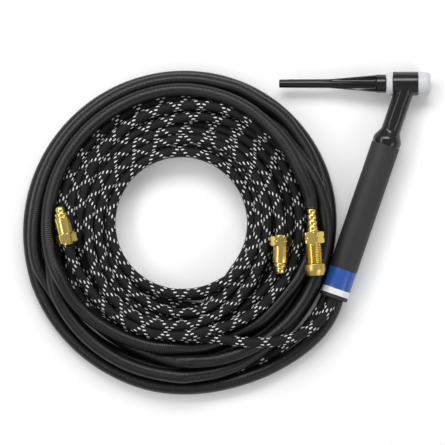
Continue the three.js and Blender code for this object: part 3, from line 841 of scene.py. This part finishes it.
def hose(name, line, radius, material):
    """A hose from inside the handle to its fitting. It stands for its free stretch, coil and tail."""
    nodes = [f"{name}_hose_lead", f"{name}_hose_coil", f"{name}_hose_tail"]
    mesh = hose_mesh(f"{name}_hose", line, radius, 18 if radius > 6 else 16, material)
    return placed(f"{name}_hose", mesh, ROOT, "root", nodes)


power_hose = hose("power", power_line, POWER_R, "hose_rubber")
water_hose = hose("water", water_line, BRAID_R, "braid")
gas_hose = hose("gas", gas_line, BRAID_R, "braid")
water_tracer, gas_tracer = (
    placed(name, tracer_mesh(name, line, BRAID_R), ROOT, "root")
    for name, line in (("water_tracer", water_line), ("gas_tracer", gas_line))
)

# ---- Torch head and handle ----

HANDLE_R = 14.35
NECK_R = 9.6
FLARE_START = 48.2
SKIRT_END = 64.2
HEAD_R = 11.9
HEAD_BACK = -13.9
HEAD_FRONT = 11.5
REAR_RING_BACK = -20.3


def step_up(x, low, high):
    """0 below low, 1 above high, smooth between."""
    t = np.clip((x - low) / (high - low), 0, 1)
    return t * t * (3 - 2 * t)


def head_barrel():
    """The tube across the head, open at both ends."""
    back = [(8.1, HEAD_BACK, 0.3), (HEAD_R, HEAD_BACK, 0.8)]
    front = [(HEAD_R, HEAD_FRONT, 0.8), (8.1, HEAD_FRONT, 0.3)]
    return turned(rounded(back + front), 128)


def neck_section(along, angles):
    """The neck's radius round its section: a raised strip runs down its top and its underside."""
    off = np.degrees(np.abs((angles + math.pi / 2) % math.pi - math.pi / 2))
    strip = 1.0 - step_up(off, 19.0, 27.0)
    fade = 1.0 - step_up(along, 42.0, FLARE_START + 2.0)
    share = step_up(along, FLARE_START, FLARE_START + 12.0)
    flare = NECK_R + (HANDLE_R - NECK_R) * share
    return flare + 1.25 * strip * fade


def neck_shell(sides=144):
    """From inside the head's barrel, out through a small fillet, down the neck and the flare."""
    angles = np.arange(sides) * 2 * math.pi / sides
    section = neck_section(0.0, angles)
    across, high = section * np.sin(angles), section * np.cos(angles)

    def meets(x, z):
        inside = np.sqrt(np.maximum(HEAD_R**2 - z**2, 0.01))
        return (inside + x * math.sin(LEAN)) / math.cos(LEAN)

    room = np.maximum(HEAD_R - np.abs(high), 0.05)
    fillet = np.minimum(1.6, room / np.maximum(np.abs(np.cos(angles)), 0.2) * 0.6)
    grown = 1 + fillet / section
    start = meets(across, high)
    rows = [np.stack([across * 0.97, start - 2.5, high * 0.97], 1)]
    outer = np.stack([across * grown, meets(across * grown, high * grown) - 0.15, high * grown], 1)
    corner = np.stack([across, start, high], 1)
    inner = np.stack([across, start + fillet, high], 1)
    for t in (0, 0.15, 0.3, 0.45, 0.6, 0.8, 1.0):
        rows.append((1 - t) ** 2 * outer + 2 * t * (1 - t) * corner + t * t * inner)
    for share in np.linspace(0, 1, 15)[1:]:
        rows.append(np.stack([across, (start + fillet) * (1 - share) + 38.0 * share, high], 1))
    lower = [(neck_section(y, angles), y) for y in [*np.arange(39.0, 60.3, 0.6), 60.6, 62.0]]
    tail = [(HANDLE_R, 63.2), (HANDLE_R - 0.1, 63.8), (HANDLE_R - 0.5, SKIRT_END), (12.55, SKIRT_END)]
    tail += [(12.55, 77.6), (12.2, 78.0), (10.6, 78.0), (10.6, 57.2), (7.0, FLARE_START), (7.0, 9.0)]
    for reach, along in lower + tail:
        rows.append(np.stack([reach * np.sin(angles), np.full(sides, along), reach * np.cos(angles)], 1))
    points = np.concatenate(rows)
    rings = [range(r * sides, (r + 1) * sides) for r in range(len(rows))]
    turn = HEAD.inverted() @ GRIP
    return np.array([turn @ (Vector(p) * MM) for p in points]) / MM, bands(rings + rings[:1])


def head_moulding():
    barrel, neck = head_barrel(), neck_shell()
    made("head", join(barrel, neck), "gloss_black", HEAD, "root", "head_moulding", 38)


def torch_body():
    """The brass core, with the threads that take the collet body in front and the cap behind."""
    rows = [(5.75, -11.4), (7.8, -11.4), (7.8, 9.0), (5.2, 9.0), (5.0, 8.7)]
    for n in range(13):
        rows += [(5.0, 8.5 - n * 0.75), (5.45, 8.15 - n * 0.75)]
    rows += [(5.0, -1.2), (5.75, -2.0)]
    for n in range(12):
        rows += [(5.75, -2.2 - n * 0.75), (6.15, -2.55 - n * 0.75)]
    made("body_core", turned(rows, 64), "brass", HEAD, "root", "torch_body")


def insulators():
    """The white ring behind the head, and the round-nosed one that a nozzle would seat on."""
    face = HEAD_BACK - 0.3
    back = REAR_RING_BACK
    rows = [(5.75, back + 2.6, 0.2), (8.15, back + 2.6, 0.2), (8.15, back, 0.3), (10.35, back, 0.5)]
    rows += [(11.7, back + 1.75, 0.7), (11.7, face, 0.35), (7.8, face, 0.2)]
    rows = rounded(rows + [(7.8, face + 2.0, 0.2), (5.75, face + 2.0, 0.2)])
    made("rear_ring", turned(rows, 112), "white_insulator", HEAD, "root", "rear_insulator", 40)
    face, end = HEAD_FRONT + 0.3, HEAD_FRONT + 12.2
    rows = rounded([(6.3, face - 2, 0.2), (7.8, face - 2, 0.2), (7.8, face, 0.2), (11.5, face, 0.35)])
    rows.append((11.5, end - 4.9))
    for n in range(1, 13):
        turn = math.pi / 2 * n / 12
        rows.append((11.5 - 3.3 * (1 - math.cos(turn)), end - 4.6 * (1 - math.sin(turn))))
    rows += [(7.4, end + 0.05), (6.7, end), (6.4, end - 0.2), (6.3, end - 0.6)]
    made("front_ring", turned(rows, 112), "white_insulator", HEAD, "root", "front_insulator", 40)


CAP_SHAFT_R = 4.6
CAP_GRIP_R = 9.1
FLUTE_R = 3.0


def back_cap():
    """A long tapered cap with six scooped flutes, and its threaded shank."""
    sides = 240
    shoulder = REAR_RING_BACK - 0.3
    tip = shoulder - 107.1
    grip = shoulder - 12.5
    cone = grip - 46
    low, high = cone - 3 + FLUTE_R, grip + 3.5 - FLUTE_R
    angles = np.arange(sides) * 2 * math.pi / sides
    off = (angles % (math.pi / 3)) - math.pi / 6
    far = CAP_SHAFT_R + 0.2 + FLUTE_R

    def outside(y):
        if y < cone:
            return 4.2 + (CAP_SHAFT_R - 4.2) * (y - tip) / (cone - tip)
        return CAP_SHAFT_R + (CAP_GRIP_R - CAP_SHAFT_R) * min(1.0, (y - cone) / (grip - cone))

    def scooped(y):
        beyond = max(low - y, y - high, 0.0)
        cutter = max(FLUTE_R**2 - beyond**2, 0.0)
        body = np.full(sides, outside(y))
        reach = cutter - (far * np.sin(off)) ** 2
        floor_r = np.where(reach > 0, far * np.cos(off) - np.sqrt(np.maximum(reach, 0)), 99.0)
        sharp = 4.0
        blended = -np.log(np.exp(-sharp * (body - 7)) + np.exp(-sharp * (np.minimum(floor_r, 20) - 7)))
        return blended / sharp + 7

    rows = [(0.0, tip)]
    rows += [(3.3, tip), (3.7, tip + 0.1), (4.0, tip + 0.35), (4.15, tip + 0.8)]
    rows += [(outside(y), y) for y in np.arange(tip + 3, cone - 4, 4.0)]
    rows += [(scooped(y), y) for y in np.arange(cone - 4, grip - 6, 0.9)]
    rows += [(scooped(y), y) for y in np.arange(grip - 6, grip + 5, 0.3)]
    rows += [(CAP_GRIP_R, y) for y in (grip + 6, shoulder - 1.0)]
    rows += [(CAP_GRIP_R - 0.15, shoulder - 0.4), (CAP_GRIP_R - 0.5, shoulder), (5.4, shoulder)]
    for n in range(12):
        rows += [(5.4, shoulder + 1.2 + n * 0.75), (5.05, shoulder + 1.55 + n * 0.75)]
    rows += [(5.0, shoulder + 10.4), (4.4, shoulder + 10.6), (0.0, shoulder + 10.6)]
    made("long_cap", turned(rows, sides), "gloss_black", HEAD, "back_cap", "back_cap", 42)


HANDLE_START = 64.5
HANDLE_END = 226.8
LABEL_START = 196.3
BLUE_END = 216.7
LABEL_END = 222.9


def handle():
    """A plain tube with a shallow recess for the label."""
    recess, low, high = HANDLE_R - 0.6, LABEL_START - 0.3, LABEL_END + 0.3
    rows = [(12.85, HANDLE_START, 0.2), (HANDLE_R, HANDLE_START, 0.5), (HANDLE_R, 130.0)]
    rows += [(HANDLE_R, low, 0.25), (recess, low, 0.15), (recess, high, 0.15), (HANDLE_R, high, 0.25)]
    rows = rounded(rows + [(HANDLE_R, HANDLE_END, 1.0), (12.85, HANDLE_END, 0.5)])
    made("handle_tube", turned(rows, 128), "handle_black", GRIP, "root", "handle")


def label():
    """A blank printed film: a wide blue field and a white band below it."""
    outer = HANDLE_R - 0.05
    inner = outer - 0.25
    blue = [(inner, LABEL_START), (outer, LABEL_START, 0.1), (outer, BLUE_END), (inner, BLUE_END)]
    white = [(inner, BLUE_END), (outer, BLUE_END), (outer, LABEL_END, 0.1), (inner, LABEL_END)]
    for name, rows, finish in (("label_field", blue, "label_blue"), ("label_band", white, "label_white")):
        made(name, turned(rounded(rows), 128), finish, GRIP, "root", "label_wrap")


head_moulding()
torch_body()
insulators()
back_cap()
handle()
label()

# ---- Fittings ----


def hexagon(corner, turn, sides=96):
    """The radius round a hexagon with a flat on top, turned by an angle in degrees."""
    flat = corner * math.cos(math.pi / 6)
    angles = np.arange(sides) * 2 * math.pi / sides - math.radians(turn)
    off = (angles + math.pi / 6) % (math.pi / 3) - math.pi / 6
    return flat / np.cos(off)


def hex_rows(corner, low, high, turn, groove=None):
    """A hexagon's rows, with its corners chamfered at both ends, and a groove round its middle."""
    shape = hexagon(corner, turn)
    flat = shape.min()
    depths = [(flat - 0.35, 0.0), (flat + 0.15, 0.05), (corner * 0.97, 0.55), (corner * 0.995, 1.1)]
    rows = [(np.minimum(shape, limit), low + y) for limit, y in depths]
    if groove:
        middle, half, floor_r = groove
        rows += [(shape, middle - half - 0.25), (np.minimum(shape, floor_r), middle - half)]
        rows += [(np.minimum(shape, floor_r), middle + half), (shape, middle + half + 0.25)]
    rows += [(np.minimum(shape, limit), high - y) for limit, y in reversed(depths)]
    return rows


def node_of(name):
    """The CAD node that a fitting's piece stands for."""
    return name.replace("_union", "")


def small_nut(name, at, turn, groove):
    """A brass union nut: hexagon and long barrel, bored for the stem and the hose's ferrule."""
    rows = [(5.2, 8.3), (6.2, 8.3), (6.2, 0.3), (6.5, 0.0)]
    rows += hex_rows(10.97, 0.0, 9.5, turn, groove)
    rows += [(8.15, 9.5), (7.9, 9.75), (7.9, 18.0), (7.9, 25.6)]
    rows += [(7.75, 26.1), (7.2, 26.5), (5.4, 26.5), (5.2, 26.2)]
    return made(name, turned(rows, 96), "brass", at, node_of(name), node_of(name))


def small_nipple(name, at):
    """The stem through the nut, with its collar and ball nose in front."""
    front = 26.8
    rows = [(1.6, 8.0), (4.9, 8.0), (4.9, front), (6.2, front), (6.6, front + 0.15), (6.85, front + 0.7)]
    rows += [(6.85, front + 2.9), (6.75, front + 3.4), (6.3, front + 3.9), (5.4, front + 4.15)]
    rows += [(4.7, front + 4.3), (4.65, front + 4.7), (4.95, front + 5.1), (4.95, front + 6.4)]
    for n in range(1, 10):
        turn = math.pi / 2 * n / 9
        rows.append((2.2 + 2.75 * math.cos(turn), front + 6.4 + 4.3 * math.sin(turn)))
    rows += [(1.8, front + 10.65), (1.6, front + 10.4)]
    return made(name, turned(rows, 72), "brass", at, "root", node_of(name), 40)


def ferrule(name, at):
    rows = rounded([(5.0, -1.5, 0.15), (5.9, -1.5, 0.35), (5.9, 7.7, 0.2), (5.0, 7.7, 0.1)])
    return made(name, turned(rows, 64), "brass", at, "root", node_of(name))


def power_nipple():
    """A ribbed stem that goes into the hose, a collar, and the ball nose inside the thread cap."""
    rows = [(2.0, -6.0), (3.4, -6.0), (3.7, -5.6), (3.7, 0.0)]
    pitch = 23.0 / 4
    for rib in range(4):
        swell = 4.85 + 0.7 * rib / 3
        for n in range(9):
            t = n / 9
            rise = math.sin(math.pi * t) ** 0.6
            rows.append((swell - 1.1 + 1.1 * rise, 0.2 + rib * pitch + pitch * t))
    rows += [(4.3, 22.4), (5.9, 22.4), (6.45, 22.55), (6.6, 22.9), (6.6, 23.5), (6.4, 23.7)]
    rows += [(4.9, 23.7), (4.9, 59.5), (6.4, 59.5), (6.6, 59.7), (6.6, 61.3), (6.2, 61.9), (4.4, 63.1)]
    rows += [(3.8, 63.9), (3.1, 64.4), (2.4, 64.7), (2.0, 64.7)]
    return made("power_union_nipple", turned(rows, 72), "brass", POWER_END, "root", "power_nipple", 40)


def power_nut():
    """A hexagon with notched corners, and a shank with its 12-to-the-inch thread."""
    sides = 96
    angles = np.arange(sides) / sides
    pitch, crest, depth = 2.117, 9.0, 1.05
    rows = [(5.2, 24.3), (5.5, 24.0)]
    rows += hex_rows(11.65, 24.0, 35.6, 13.0, (29.7, 0.5, 10.7))
    rows += [(8.9, 35.6), (8.3, 35.9), (7.95, 36.4)]
    for y in np.arange(36.8, 58.2, pitch / 8):
        saw = np.abs(((y / pitch - angles) % 1.0) * 2 - 1)
        grown = min(1.0, (y - 36.8) / 1.2 + 0.05, (58.4 - y) / 1.2)
        rows.append((crest - depth * (1 - np.clip(saw * 1.2 - 0.1, 0, 1) * max(grown, 0.0)), y))
    rows += [(7.9, 58.4), (7.8, 58.9), (7.4, 59.2), (5.4, 59.2), (5.2, 58.9)]
    return made("power_union_nut", turned(rows, sides), "brass", POWER_END, "power_nut", "power_nut")


def thread_cap():
    """A plain cap with a coned end, pushed over the power fitting's thread."""
    inside = [(0.0, 65.2), (9.26, 65.2, 0.4), (9.26, 56.2, 0.3)]
    rows = rounded(inside + [(10.45, 56.2, 0.6), (10.45, 62.4, 0.6), (8.25, 67.8, 0.5), (0.0, 67.8)])
    node = "power_thread_cap"
    return made("thread_cover", turned(rows, 96), "dull_brass", POWER_END, node, node)


power_pieces = [power_nipple(), power_nut(), thread_cap()]
water_pieces = [
    small_nut("water_union_nut", WATER_END, 0.0, (4.7, 0.4, 10.0)),
    small_nipple("water_union_nipple", WATER_END),
    ferrule("water_union_end_ferrule", WATER_END),
    water_tracer,
]
gas_pieces = [
    small_nut("gas_union_nut", GAS_END, -7.5, None),
    small_nipple("gas_union_nipple", GAS_END),
    ferrule("gas_union_end_ferrule", GAS_END),
    gas_tracer,
]


# ---- CAD pieces that stay as they are, inside the torch ----

INSIDE = {
    "power_tube": "copper",
    "water_tube": "copper",
    "gas_tube": "copper",
    "power_hose_clamp": "brass",
    "water_hose_clamp": "brass",
    "gas_hose_clamp": "brass",
    "back_cap_o_ring": "seal_rubber",
}
for node, material in INSIDE.items():
    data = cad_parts[node].data
    data.materials.clear()
    data.materials.append(MATERIALS[material])
